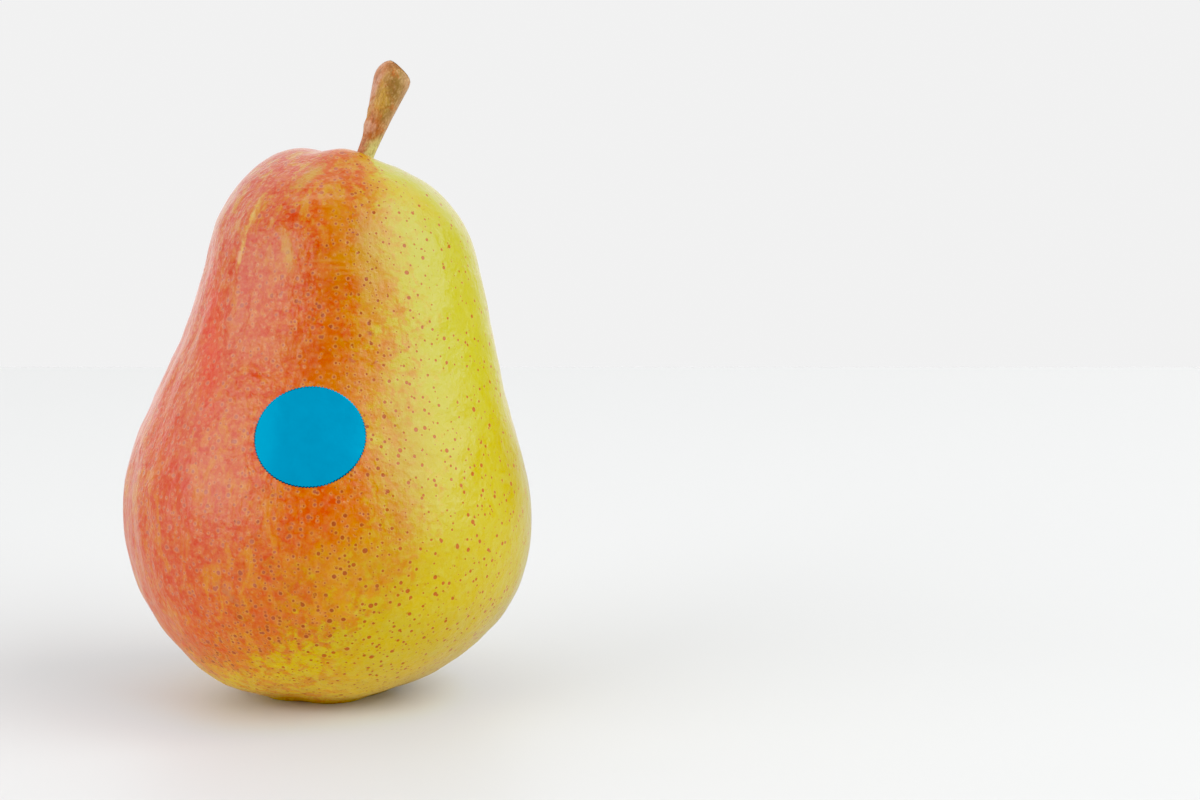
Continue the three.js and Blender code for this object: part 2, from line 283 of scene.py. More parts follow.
# Softboxes: name, bearing from the front, elevation and roll in degrees, distance and size in
# metres, and radiance.
SOFTBOXES = [
    ("softbox_left", -65, 18, 14, 2.4, (2.7, 1.65), 3.5),
    ("softbox_right", 65, 33, 24, 2.4, (2.85, 2.6), 3.65),
]


# ---- Helpers ----


def linear(hex_colour):
    """A hex sRGB colour as a linear colour with full alpha."""
    channels = [int(hex_colour[i : i + 2], 16) / 255 for i in (0, 2, 4)]
    turned_linear = [c / 12.92 if c <= 0.04045 else ((c + 0.055) / 1.055) ** 2.4 for c in channels]
    return (*turned_linear, 1)


def add_node(tree, kind, *inputs, stops=(), **named):
    """Adds a node. Its inputs are given in the order of its sockets, or by their names, which
    begin with a capital. Each is a value, a hex colour, or the node or socket that it is linked
    to. The other names are the node's settings.
    """
    node = tree.nodes.new("ShaderNode" + kind)
    for name, value in named.items():
        if name[0].islower():
            setattr(node, name, value)
    if stops:
        elements = node.color_ramp.elements
        while len(elements) < len(stops):
            elements.new(1)
        for element, (position, colour) in zip(elements, stops):
            element.position = position
            element.color = linear(colour) if isinstance(colour, str) else (*colour, 1)
    pairs = list(zip((socket for socket in node.inputs if socket.enabled), inputs))
    for name, value in named.items():
        if name[0].isupper():
            pairs.append((node.inputs[name.replace("_", " ")], value))
    for socket, value in pairs:
        if isinstance(value, bpy.types.Node):
            value = next(output for output in value.outputs if output.enabled)
        if isinstance(value, bpy.types.NodeSocket):
            tree.links.new(value, socket)
        else:
            socket.default_value = linear(value) if isinstance(value, str) else value
    return node


def new_material(name):
    """A material, the function that adds a node to it, and the place on its piece in mm."""
    material = bpy.data.materials.new(name)
    material.use_nodes = True
    material.node_tree.nodes.clear()
    add = partial(add_node, material.node_tree)
    place = add("VectorMath", add("TexCoord").outputs["Object"], 1 / MM, operation="SCALE")
    return material, add, place


def layered(add, colour, *layers):
    """The colour under some layers, each with its pattern, the pattern's values where the layer
    is bare and where it is full, its share where it is full, and its own colour.
    """
    for pattern, bare, full, share, paint in layers:
        mask = add("MapRange", pattern, bare, full, 0, share)
        colour = add("Mix", mask, colour, paint, data_type="RGBA")
    return colour


def marked(add, colour, place, marks, softness, ragged):
    """The colour under some marks, which run between two ends and have a soft, ragged edge."""
    for start, end, half_width, paint, strength in marks:
        start, end = Vector(start), Vector(end)
        lengthwise = (end - start).normalized()
        crosswise = Vector((*(start + end).xy, 0)).cross(lengthwise).normalized()
        turn = Matrix((lengthwise, crosswise, lengthwise.cross(crosswise))).transposed().to_euler()
        size = ((end - start).length / 2 + half_width, half_width, max(half_width, MARK_DEPTH))
        middle = (start + end) / 2
        local = add("Mapping", place, middle, turn, size, vector_type="TEXTURE")
        away = add("VectorMath", local, operation="LENGTH")
        away = add("Math", ragged, 2, away, operation="MULTIPLY_ADD")
        mask = add("MapRange", away, 2 + softness, 2 - softness, interpolation_type="SMOOTHSTEP")
        share = add("Math", mask, strength, operation="MULTIPLY")
        colour = add("Mix", share, colour, paint, data_type="RGBA")
    return colour


def pore_gap(add, place, out_of_skin, cell, smallest, largest):
    """How far outside a round pore a point is, in mm along the skin, with a pore in each cell."""
    cells = add("TexVoronoi", place, Scale=1 / cell, Randomness=0.95)
    radius = add("MapRange", cells.outputs["Color"], 0, 1, smallest, largest)
    offset = add("VectorMath", place, cells.outputs["Position"], operation="SUBTRACT")
    depth = add("VectorMath", offset, out_of_skin, operation="PROJECT")
    gap = add("VectorMath", offset, depth, operation="DISTANCE")
    return add("Math", gap, radius, operation="SUBTRACT")


def smooth_curve(points, rows_per_span):
    """Points on the smooth curve through the given ones, evenly spread over each span."""
    knots = [Vector(point) for point in points]
    knots = [2 * knots[0] - knots[1], *knots, 2 * knots[-1] - knots[-2]]
    curve = []
    for before, start, end, after in zip(knots, knots[1:], knots[2:], knots[3:]):
        leave = (end - before) / 2
        arrive = (after - start) / 2
        cubic = 2 * (start - end) + leave + arrive
        square = 3 * (end - start) - 2 * leave - arrive
        for step in range(rows_per_span):
            t = step / rows_per_span
            curve.append(start + leave * t + square * t**2 + cubic * t**3)
    return [*curve, knots[-2]]


def spun(rows, segments):
    """A form spun round the Z axis from rows of radius and height, and its layer of row numbers."""
    form = bmesh.new()
    row_number = form.verts.layers.int.new("row")
    line = []
    for number, row in enumerate(rows):
        vertex = form.verts.new((max(row[0], 0), 0, row[1]))
        vertex[row_number] = number
        line.append(vertex)
    edges = [form.edges.new(pair) for pair in zip(line, line[1:])]
    bmesh.ops.spin(form, geom=line + edges, axis=UP, steps=segments, angle=TURN, use_merge=True)
    bmesh.ops.remove_doubles(form, verts=form.verts, dist=MERGE_WITHIN)
    bmesh.ops.recalc_face_normals(form, faces=form.faces)
    form.normal_update()
    return form, row_number


def swell(point, swells):
    """How far a set of swells lifts the surface at a point."""
    return sum(
        rise * math.exp(-((point - Vector(middle)).length_squared) / (2 * spread**2))
        for middle, spread, rise in swells
    )


def sun_direction(settings):
    """The level direction of the side that the sun reddened."""
    return Vector((math.sin(settings.blush_bearing), -math.cos(settings.blush_bearing), 0))


def make_piece(name, form, material, smooth=True):
    """Turns a form in mm round the core into an object in the part's frame, in metres."""
    bmesh.ops.translate(form, verts=form.verts, vec=-CORE)
    bmesh.ops.scale(form, verts=form.verts, vec=(MM, MM, MM))
    for face in form.faces:
        face.smooth = smooth
    mesh = bpy.data.meshes.new(name)
    form.to_mesh(mesh)
    form.free()
    mesh.materials.append(material)
    piece = bpy.data.objects.new(name, mesh)
    bpy.context.scene.collection.objects.link(piece)
    return piece


def dress(piece, node):
    """Lets a piece stand for its node of the part."""
    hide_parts(node)
    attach(piece, "root")


# ---- Settings ----

CHANNELS = {"size": 3, "min": 0, "max": 1}


class FruitSettings(bpy.types.PropertyGroup):
    relief: bpy.props.FloatProperty(
        name="Relief",
        description="How uneven the skin is, as a share of that of a fresh fruit",
        default=1,
        min=0,
        max=3,
        subtype="FACTOR",
    )
    blush_bearing: bpy.props.FloatProperty(
        name="Blush Bearing",
        description="Side that the sun reddened, from the front towards the right",
        default=math.radians(-82),
        subtype="ANGLE",
        unit="ROTATION",
    )
    ground_colour: bpy.props.FloatVectorProperty(
        name="Ground Colour",
        description="Colour of the ripe skin on the shaded side",
        default=linear("A89604")[:3],
        subtype="COLOR",
        **CHANNELS,
    )
    blush_colour: bpy.props.FloatVectorProperty(
        name="Blush Colour",
        description="Colour of the skin in the middle of the blush",
        default=linear("B94A1E")[:3],
        subtype="COLOR",
        **CHANNELS,
    )
    dot_spacing: bpy.props.FloatProperty(
        name="Dot Spacing",
        description="Distance between the cells that the pores of the skin grow in",
        default=2.5 * MM,
        min=1 * MM,
        subtype="DISTANCE",
        unit="LENGTH",
    )


class StemSettings(bpy.types.PropertyGroup):
    cut_length: bpy.props.FloatProperty(
        name="Cut Length",
        description="Length of the stem from its root to the slanting end",
        default=STEM_CUT_LENGTH * MM,
        min=12 * MM,
        max=25 * MM,
        subtype="DISTANCE",
        unit="LENGTH",
    )
    bark_colour: bpy.props.FloatVectorProperty(
        name="Bark Colour",
        description="Main colour of the woody bark",
        default=linear("966830")[:3],
        subtype="COLOR",
        **CHANNELS,
    )


class CalyxSettings(bpy.types.PropertyGroup):
    sepals: bpy.props.IntProperty(
        name="Sepals",
        description="Number of dried sepals round the rim",
        default=SEPAL_COUNT,
        min=3,
        max=7,
    )
    husk_colour: bpy.props.FloatVectorProperty(
        name="Husk Colour",
        description="Main colour of the dried sepals",
        default=linear("6A4E36")[:3],
        subtype="COLOR",
        **CHANNELS,
    )


class LabelSettings(bpy.types.PropertyGroup):
    length: bpy.props.FloatProperty(
        name="Length",
        description="Long axis of the oval label",
        default=20.6 * MM,
        min=10 * MM,
        max=30 * MM,
        subtype="DISTANCE",
        unit="LENGTH",
    )
    height: bpy.props.FloatProperty(
        name="Height",
        description="Short axis of the oval label",
        default=19 * MM,
        min=10 * MM,
        max=30 * MM,
        subtype="DISTANCE",
        unit="LENGTH",
    )
    thickness: bpy.props.FloatProperty(
        name="Thickness",
        description="Thickness of the film with its glue",
        default=0.09 * MM,
        min=0.03 * MM,
        max=0.5 * MM,
        subtype="DISTANCE",
        unit="LENGTH",
    )
    ink_colour: bpy.props.FloatVectorProperty(
        name="Ink Colour",
        description="Colour of the print on the film",
        default=linear("007699")[:3],
        subtype="COLOR",
        **CHANNELS,
    )


class StageSettings(bpy.types.PropertyGroup):
    floor_colour: bpy.props.FloatVectorProperty(
        name="Floor Colour",
        description="Colour of the pale floor",
        default=linear("C9CACA")[:3],
        subtype="COLOR",
        **CHANNELS,
    )
    light_strength: bpy.props.FloatProperty(
        name="Light Strength",
        description="Brightness of the softboxes, as a share of the usual one",
        default=1,
        min=0,
        subtype="FACTOR",
    )


# ---- Materials ----

# Patterns are in millimetres: the scale of a noise is 1 over the size of its largest parts. The
# numbers of a Map Range are the two values that it reads between, then the two that it gives.


def skin_material(settings):
    """Ripe pear skin under its natural wax: a satin gloss over yellow flesh, with a sun blush."""
    material, add, place = new_material("waxy_ripe_pear_skin")
    height = add("SeparateXYZ", place).outputs["Z"]

    # Bearing of the point from the core, which leans at the neck, as a level unit vector.
    lean = add("MapRange", height, 80, 102, 1.5, 5.5, interpolation_type="SMOOTHSTEP")
    flat = add("VectorMath", place, add("CombineXYZ", lean, 0.2), operation="SUBTRACT")
    flat = add("VectorMath", flat, (1, 1, 0), operation="MULTIPLY")
    outward = add("VectorMath", flat, operation="NORMALIZE")
    sunward = add("VectorMath", outward, sun_direction(settings), operation="DOT_PRODUCT")

    # Streaks run from the stem to the calyx, brush marks run round the fruit, and drips hang.
    along = add("VectorMath", outward, 30, operation="SCALE")
    slow_height = add("Math", height, 0.15, operation="MULTIPLY")
    along = add("VectorMath", along, add("CombineXYZ", Z=slow_height), operation="ADD")
    round_fruit = add("VectorMath", place, (1, 1, 2.6), operation="MULTIPLY")
    hanging = add("VectorMath", place, (1, 1, 0.5), operation="MULTIPLY")

    patches = add("TexNoise", place, Scale=1 / 15, Detail=2, Roughness=0.5)
    blotches = add("TexNoise", place, Scale=1 / 6, Detail=5, Roughness=0.62, Distortion=0.8)
    brushes = add("TexNoise", round_fruit, Scale=1 / 5.5, Detail=6, Roughness=0.65, Distortion=0.7)
    streaks = add("TexNoise", along, Scale=1 / 2.1, Detail=3, Roughness=0.6)
    drips = add("TexNoise", hanging, Scale=1 / 3.2, Detail=5, Roughness=0.66, Distortion=0.6)
    felt = add("TexNoise", place, Scale=1 / 1.1, Detail=6, Roughness=0.72, Distortion=0.4)
    islands = add("TexNoise", place, Scale=1 / 2.4, Detail=4, Roughness=0.7, Distortion=0.5)
    islands = add("MapRange", islands, 0.4, 0.6)
    grain = add("TexNoise", place, Scale=1 / 1.3, Detail=4, Roughness=0.6)

    # The blush thins out towards the calyx end, and every pattern frays its edge by a share.
    fade = add("Math", height, -1 / 14, operation="MULTIPLY")
    fade = add("Math", fade, operation="EXPONENT")
    reach = add("Math", fade, 1.85, -0.2, operation="MULTIPLY_ADD")
    blush = add("Math", sunward, reach, operation="SUBTRACT")
    frays = [(patches, 0.5), (blotches, 0.5), (brushes, 0.6), (drips, 0.3), (islands, 0.24)]
    for pattern, share in (*frays, (felt, 0.6)):
        centred = add("Math", pattern, share, -share / 2, operation="MULTIPLY_ADD")
        blush = add("Math", blush, centred, operation="ADD")
    blush = add("MapRange", blush, -0.3, 0.88)

    # Ground: olive round the basin, a full yellow on the belly, a paler yellow green at the neck.
    ripeness = add("Math", height, 1 / 110, -0.12, operation="MULTIPLY_ADD")
    ripeness = add("Math", blotches, 0.24, ripeness, operation="MULTIPLY_ADD")
    ground_stops = [(0.0, "B39109"), (0.1, "B39607"), (0.3, "AC9603")]
    ground_stops += [(0.45, settings.ground_colour), (0.6, "A59D19"), (0.97, "A49E24")]
    ground = add("ValToRGB", ripeness, stops=ground_stops)

    sunned_stops = [(0.0, "AE9606"), (0.14, "AC8D06"), (0.27, "AE7E04"), (0.41, "AE6804")]
    sunned_stops += [(0.57, "B05012"), (0.78, settings.blush_colour), (1.0, "B6462A")]
    sunned = add("ValToRGB", blush, stops=sunned_stops)
    inside = add("MapRange", blush, 0.15, 0.5, 0, 0.5)
    deepest = add("MapRange", blush, 0.15, 0.55, 0, 0.8)
    most_amber = add("MapRange", height, 70, 25, 0.25, 0.8)
    crown = add("MapRange", height, 84, 97, 0, 0.6)
    sunned = layered(
        add,
        sunned,
        (felt, 0.46, 0.7, inside, "BD8228"),  # the yellow shows through in soft specks
        (felt, 0.5, 0.36, inside, "A83010"),
        (brushes, 0.52, 0.38, deepest, "B22D0E"),
        (drips, 0.5, 0.64, most_amber, "BC7A18"),
        (drips, 0.5, 0.6, crown, "B4862E"),  # the crown ripened in ochre streaks
    )
    cover = add("MapRange", blush, 0, 0.27)
    colour = add("Mix", cover, ground, sunned, data_type="RGBA")
    colour = marked(add, colour, place, PATCHES, 1.2, brushes)
    # Painted shade: the lower right side, towards the back, is darkened to a deeper green yellow.
    painted_shade = add("VectorMath", outward, (0.94, 0.34, 0), operation="DOT_PRODUCT")
    painted_shade = add("MapRange", painted_shade, 0.5, 0.95, 0, 0.8, interpolation_type="SMOOTHSTEP")
    below = add("MapRange", height, 62, 40, interpolation_type="SMOOTHSTEP")
    painted_shade = add("Math", painted_shade, below, operation="MULTIPLY")
    colour = add("Mix", painted_shade, colour, "8E7C02", data_type="RGBA")
    # The unsunned skin is a little paler in patches.
    unsunned = add("MapRange", blush, 0.3, 0, 0, 0.35)
    colour = layered(add, colour, (blotches, 0.45, 0.7, unsunned, "ADA039"))
    # Round the calyx end it ripened to amber.
    ripe = add("Math", streaks, -10, height, operation="MULTIPLY_ADD")
    ripe = add("MapRange", ripe, 9, -3, 0, 0.7, interpolation_type="SMOOTHSTEP")
    colour = add("Mix", ripe, colour, "BD9B30", data_type="RGBA")
    # Flecks of the blush reach down to the foot, and the wax is bloomed a little paler.
    foot = add("MapRange", height, 34, 16, 0, 0.6, interpolation_type="SMOOTHSTEP")
    foot_side = add("MapRange", sunward, -0.15, 0.4, interpolation_type="SMOOTHSTEP")
    foot = add("Math", foot, foot_side, operation="MULTIPLY")
    bloom = add("Mix", cover, "BBB35F", "C7865C", data_type="RGBA")
    flecks = (islands, 0.42, 0.85, foot, "B2501C")
    colour = layered(add, colour, flecks, (grain, 0.46, 0.68, 0.16, bloom))

    # Pores: dots of four sets, each with its cells, its radii and the part of the skin it is on.
    # They are denser near the calyx end, and the felt and the wear of the neck fray and thin them.
    spacing = settings.dot_spacing / MM
    small_part = add("MapRange", blush, 0.35, 0.7, 1, 0.3)
    low_part = add("MapRange", height, 50, 12, 0, 0.7)
    sunned_part = add("MapRange", blush, 0.22, 0.45)
    worn = add("MapRange", height, 45, 75, 0, 0.06)
    worn = add("Math", felt, 0.3, worn, operation="MULTIPLY_ADD")
    out_of_skin = add("NewGeometry").outputs["Normal"]
    dots = None
    halo = None
    for cell, smallest, largest, part in (
        (0.88, -0.1, 0.4, small_part),
        (1.6, 0.04, 0.54, None),
        (0.74, -0.06, 0.34, low_part),
        (0.86, 0, 0.42, sunned_part),
    ):
        gap = pore_gap(add, place, out_of_skin, cell * spacing, smallest, largest)
        gap = add("Math", gap, worn, operation="ADD")
        dot = add("MapRange", gap, 0.19, 0.09)
        ring = add("MapRange", gap, 0.5, 0.2)
        if part:
            dot = add("Math", dot, part, operation="MULTIPLY")
            ring = add("Math", ring, part, operation="MULTIPLY")
        dots = add("Math", dots, dot, operation="MAXIMUM") if dots else dot
        halo = add("Math", halo, ring, operation="MAXIMUM") if halo else ring
    halo_colour = add("Mix", blush, "B4A842", "C88058", data_type="RGBA")
    halo = add("Math", halo, add("MapRange", blush, 0, 1, 0.12, 0.42), operation="MULTIPLY")
    colour = add("Mix", halo, colour, halo_colour, data_type="RGBA")
    dot_stops = [(0.0, "A04C12"), (0.45, "863C1C"), (0.85, "9C5444")]
    dot_share = add("Math", dots, add("MapRange", blush, 0, 1, 0.95, 0.85), operation="MULTIPLY")
    dot_colour = add("ValToRGB", blush, stops=dot_stops)
    colour = add("Mix", dot_share, colour, dot_colour, data_type="RGBA")
    # On the sunned neck the youngest pores are pale and closed.
    closed = pore_gap(add, place, out_of_skin, 0.8 * spacing, 0.04, 0.4)
    closed_share = add("MapRange", height, 45, 80, 0.04, 0.2)
    closed_part = add("MapRange", blush, 0.45, 0.75, 0, closed_share)
    colour = layered(add, colour, (closed, 0.14, -0.08, closed_part, "CC8E60"))
    torn = add("MapRange", felt, 0.36, 0.64, 0.2, 0.85)
    colour = marked(add, colour, place, MARKS, 0.6, torn)

    # Painted light brightens the calyx end as if lit from below, more on the sunned side, and
    # painted shade darkens the top.
    painted_light_below = add("Math", height, -1 / 12, operation="MULTIPLY")
    painted_light_below = add("Math", painted_light_below, operation="EXPONENT")
    painted_light_share = add("MapRange", sunward, -0.7, 0.5, 0.35, 0.95)
    brightness = add("Math", painted_light_below, painted_light_share, 1, operation="MULTIPLY_ADD")
    brightness = add("Math", brightness, 1.75, operation="MINIMUM")
    painted_top_shade = add("MapRange", height, 78, 102, 1, 0.9)
    brightness = add("Math", brightness, painted_top_shade, operation="MULTIPLY")
    colour = add("VectorMath", colour, brightness, operation="SCALE")

    pits = add("Math", dots, -0.2, grain, operation="MULTIPLY_ADD")
    fine = add("Bump", Height=pits, Distance=0.16 * MM, Strength=1)
    # The sunned skin is drawn into fine folds along the fruit, and the rest is dimpled.
    tall = add("VectorMath", place, (1, 1, 0.4), operation="MULTIPLY")
    wrinkles = add("TexNoise", tall, Scale=1 / 2.8, Detail=3, Roughness=0.55, Distortion=0.8)
    folded = add("MapRange", sunward, -0.2, 0.7, 0, 0.3)
    folds = add("Math", wrinkles, folded, operation="MULTIPLY")
    dimples = add("TexNoise", place, Scale=1 / 2.3, Detail=2, Roughness=0.5)
    relief = add("Math", dimples, 0.18, folds, operation="MULTIPLY_ADD")
    surface = add(
        "BsdfPrincipled",
        Base_Color=colour,
        Roughness=add("MapRange", blotches, 0, 1, 0.25, 0.36),
        IOR=1.45,
        Subsurface_Weight=0.05,
        Subsurface_Radius=(1.0, 0.5, 0.15),
        Subsurface_Scale=1.2 * MM,
        Normal=add("Bump", Height=relief, Distance=1 * MM, Strength=1, Normal=fine),
    )
    add("OutputMaterial", surface)
    return material


def bark_material(settings):
    """Woody pear stem, dry and matte, with furrows along it and a green foot."""
    material, add, place = new_material("dry_stem_bark")
    root = Vector(STEM_LINE[0]) - CORE
    upright = add("Mapping", place, root, (0, STEM_TILT, 0), vector_type="TEXTURE")
    local = add("SeparateXYZ", upright)
    fibres = add("VectorMath", upright, (1, 1, 0.22), operation="MULTIPLY")
    furrows = add("TexNoise", fibres, Scale=1 / 0.9, Detail=4, Roughness=0.6)
    clouds = add("TexNoise", fibres, Scale=1 / 2.4, Detail=3, Roughness=0.6)
    rust = add("TexNoise", upright, Scale=1 / 2.2, Detail=4, Roughness=0.65, Distortion=1)
    short_fibres = add("VectorMath", upright, (1, 1, 0.55), operation="MULTIPLY")
    grains = add("TexNoise", short_fibres, Scale=1 / 0.42, Detail=3, Roughness=0.65)

    # Across the stem: pink on the sunned edge, ochre in the middle, tan on the far edge.
    half_width = add("MapRange", local.outputs["Z"], 6, 22, 1.9, 3.6)
    side = add("Math", local.outputs["X"], half_width, operation="DIVIDE")
    spread = add("Math", side, 0.4, 0.25, operation="MULTIPLY_ADD")
    spread = add("Math", clouds, 0.5, spread, operation="MULTIPLY_ADD")
    stops = [(0.1, "B88874"), (0.28, "AE7C56"), (0.42, settings.bark_colour)]
    stops += [(0.56, "8A6830"), (0.7, "A07C50"), (0.95, "A88464")]
    colour = add("ValToRGB", spread, stops=stops)
    rusty = (rust, 0.5, 0.62, 0.8, "A05214")
    colour = layered(add, colour, rusty, (clouds, 0.56, 0.66, 0.35, "B08C34"))
    colour = marked(add, colour, place, STEM_MARKS, 0.5, rust)
    colour = layered(
        add,
        colour,
        (grains, 0.52, 0.66, 0.4, "C69C6C"),  # corky grains on the ridges
        (grains, 0.48, 0.34, 0.45, "7A4C1E"),
        (furrows, 0.45, 0.3, 0.6, "6E461C"),  # darker in the furrows
    )
    relief = add("Math", grains, 0.5, furrows, operation="MULTIPLY_ADD")
    bump = add("Bump", Height=relief, Distance=0.35 * MM, Strength=1)
    surface = add("BsdfPrincipled", Base_Color=colour, IOR=1.45, Roughness=0.55, Normal=bump)
    add("OutputMaterial", surface)
    return material


def husk_material(settings):
    """Dried sepals and stamens: dull, brittle and almost black in the folds."""
    material, add, place = new_material("dried_calyx_husk")
    wrinkles = add("TexNoise", place, Scale=1 / 0.7, Detail=4, Roughness=0.65)
    stops = [(0.35, "34241A"), (0.5, settings.husk_colour), (0.68, "A88A68")]
    colour = add("ValToRGB", wrinkles, stops=stops)
    bump = add("Bump", Height=wrinkles, Distance=0.2 * MM, Strength=1)
    surface = add("BsdfPrincipled", Base_Color=colour, IOR=1.45, Roughness=0.8, Normal=bump)
    add("OutputMaterial", surface)
    return material


def film_material(settings):
    """Printed polyethylene film: smooth ink under a thin varnish, with a soft gloss."""
    material, add, place = new_material("printed_label_film")
    blotches = add("TexNoise", place, Scale=1 / 2.2, Detail=3, Roughness=0.6)
    ink = add("Mix", blotches, (*settings.ink_colour, 1), "007EA2", data_type="RGBA")
    # The die cut bared the glue between its teeth, and the rim is darkened by the glue and by
    # painted shadow under the edge.
    rim = add("Attribute", attribute_name="rim").outputs["Fac"]
    surface = add(
        "BsdfPrincipled",
        Base_Color=layered(add, ink, (rim, 0.1, 0.32, 0.95, "122228")),
        Roughness=0.3,
        IOR=1.45,
        Specular_IOR_Level=0.7,
        Specular_Tint="58D4FF",
        Normal=add("Bump", Height=blotches, Distance=0.05 * MM, Strength=1),
    )
    add("OutputMaterial", surface)
    return material


def floor_material(settings):
    """Matte white laminate under the pear, with a trace of unevenness."""
    material, add, place = new_material("matte_white_laminate")
    cloud = add("TexNoise", place, Scale=3 * MM, Detail=2)
    shade = [0.985 * channel for channel in settings.floor_colour]
    colour = add("Mix", cloud, (*settings.floor_colour, 1), (*shade, 1), data_type="RGBA")
    surface = add("BsdfPrincipled", Base_Color=colour, Roughness=0.5, Specular_IOR_Level=0.3)
    add("OutputMaterial", surface)
    return material


# ---- Forms ----


def rib(point, radius):
    """How far the five ribs of the calyx end lift the skin at a point."""
    angle = math.atan2(point.y, point.x)
    fade = math.exp(-((point.z / RIB_FADE_HEIGHT) ** 2)) * min(1, (radius / RIB_FADE_RADIUS) ** 2)
    return RIB_RISE * fade * math.cos(RIB_COUNT * angle + RIB_PHASE)


def fruit_form(settings):
    """The skin, closed over the basin and the stem cavity."""
    rows = smooth_curve(FRUIT_OUTLINE, FRUIT_ROWS_PER_SPAN)
    form, row_number = spun(rows, FRUIT_SEGMENTS)
    sun = sun_direction(settings)
    for vertex in form.verts:
        radius, _, lean = rows[vertex[row_number]]
        outward = vertex.normal.copy()
        if radius < FRUIT_POLE_RADIUS:
            outward = Vector((0, 0, math.copysign(1, outward.z)))
        lift = rib(vertex.co, radius)
        vertex.co.y *= FRUIT_DEPTH
        vertex.co += lean * LEAN_DIRECTION
        lift += swell(vertex.co, FRUIT_SWELLS)
        relief = sum(rise * noise.noise(vertex.co / size) for size, rise in FRUIT_RELIEF)
        lift += settings.relief * relief
        folded = min(max((outward.dot(sun) - FRUIT_FOLD_START) / FRUIT_FOLD_FADE, 0), 1)
        grid = Vector(place / size for place, size in zip(vertex.co, FRUIT_FOLD_SIZE))
        lift += settings.relief * FRUIT_FOLD_RISE * folded * noise.noise(grid)
        vertex.co += lift * outward
        vertex.co.z = max(vertex.co.z, 0)
    return form


def stem_walk(line, length):
    """The point of the middle line at a length along it, and the line's direction there."""
    for start, end in zip(line, line[1:]):
        step = (end - start).length
        if length <= step or end is line[-1]:
            direction = (end - start).normalized()
            return start + direction * length, direction
        length -= step


def stem_form(settings):
    """The woody club with its furrows and bud scars, cut off at a slant."""
    rows = smooth_curve([(*row, 0) for row in STEM_OUTLINE], STEM_ROWS_PER_SPAN)
    form, row_number = spun(rows, STEM_SEGMENTS)
    line = smooth_curve(STEM_LINE, STEM_LINE_ROWS_PER_SPAN)
    walk = [stem_walk(line, row[1]) for row in rows]
    for vertex in form.verts:
        radius, length, _ = rows[vertex[row_number]]
        point, direction = walk[vertex[row_number]]
        angle = math.atan2(vertex.co.y, vertex.co.x)
        across = Vector((math.cos(angle), math.sin(angle), 0))
        wave = math.cos(STEM_RIDGES * angle + STEM_TWIST * length / STEM_TWIST_LENGTH)
        radius *= 1 + STEM_RIDGE_SHARE * wave
        for width, reach, depth in STEM_FISSURES:
            x, y = (part * STEM_FISSURE_RADIUS / width for part in across.xy)
            radius += depth * noise.noise(Vector((x, y, length / reach))) * min(1, radius)
        across.rotate(UP.rotation_difference(direction))
        vertex.co = point + across * radius
        vertex.co += across * swell(vertex.co, STEM_SCARS)
    middle, _ = stem_walk(line, settings.cut_length / MM)
    cut = bmesh.ops.bisect_plane(
        form,
        geom=[*form.verts, *form.edges, *form.faces],
        plane_co=middle,
        plane_no=STEM_CUT_FACING,
        clear_outer=True,
    )
    rim = [item for item in cut["geom_cut"] if isinstance(item, bmesh.types.BMEdge)]
    bmesh.ops.contextual_create(form, geom=rim)
    bmesh.ops.bevel(
        form,
        geom=rim,
        offset=STEM_CUT_ROUNDING,
        segments=3,
        profile=0.5,
        affect="EDGES",
        material=-1,
    )
    bmesh.ops.recalc_face_normals(form, faces=form.faces)
    return form


def sepal_into(form, number, count):
    """Adds one dried sepal: a blade that hangs from the rim, spreads and curls in at its tip."""
    columns, rows = SEPAL_SEGMENTS
    grid = bmesh.ops.create_grid(form, x_segments=columns, y_segments=rows, size=0.5)["verts"]
    turn = Matrix.Rotation(TURN * number / count + SEPAL_STRAY * math.sin(3 * number), 3, "Z")
    curl = SEPAL_CURL[0] + SEPAL_CURL[1] * math.cos(2 * number)
    lost, late = SEPAL_TAPER
    for vertex in grid:
        along = vertex.co.y + 0.5
        across = vertex.co.x * SEPAL_WIDTH * (1 - lost * along**late)
        wave = Vector((vertex.co.x, along, number)) * SEPAL_CRUMPLE_WAVES
        out = CALYX_RIM_RADIUS + SEPAL_SPREAD * math.sin(math.pi * curl * along)
        out += SEPAL_CRUMPLE * noise.noise(wave) - SEPAL_HOLLOW * across**2
        drop = CALYX_RIM_HEIGHT - SEPAL_LENGTH * along * (1 - SEPAL_TIP_RISE * along)
        vertex.co = turn @ Vector((out, across, drop))


def calyx_form(settings):
    """The dried calyx: a short cup with a ring of sepals and the ends of the stamens."""
    form = bmesh.new()
    for number in range(settings.sepals):
        sepal_into(form, number, settings.sepals)
    bmesh.ops.recalc_face_normals(form, faces=form.faces)
    bmesh.ops.solidify(form, geom=form.faces[:], thickness=SEPAL_THICKNESS)
    cup, _ = spun(CALYX_CUP, CALYX_CUP_SEGMENTS)
    cup_mesh = bpy.data.meshes.new("calyx_cup")
    cup.to_mesh(cup_mesh)
    cup.free()
    form.from_mesh(cup_mesh)
    bpy.data.meshes.remove(cup_mesh)
    for number in range(STAMEN_COUNT):
        lean = Matrix.Rotation(STAMEN_LEAN[0] + STAMEN_LEAN[1] * math.sin(5 * number), 4, "Y")
        turn = Matrix.Rotation(TURN * number / STAMEN_COUNT, 4, "Z")
        out = Matrix.Translation((STAMEN_RING_RADIUS, 0, STAMEN_RING_HEIGHT))
        bmesh.ops.create_cone(
            form,
            cap_ends=True,
            segments=STAMEN_SEGMENTS,
            radius1=STAMEN_FLARE * STAMEN_RADIUS,
            radius2=STAMEN_RADIUS,
            depth=STAMEN_LENGTH,
            matrix=turn @ out @ lean,
        )
    bmesh.ops.recalc_face_normals(form, faces=form.faces)
    bmesh.ops.translate(form, verts=form.verts, vec=CALYX_CENTRE)
    return form


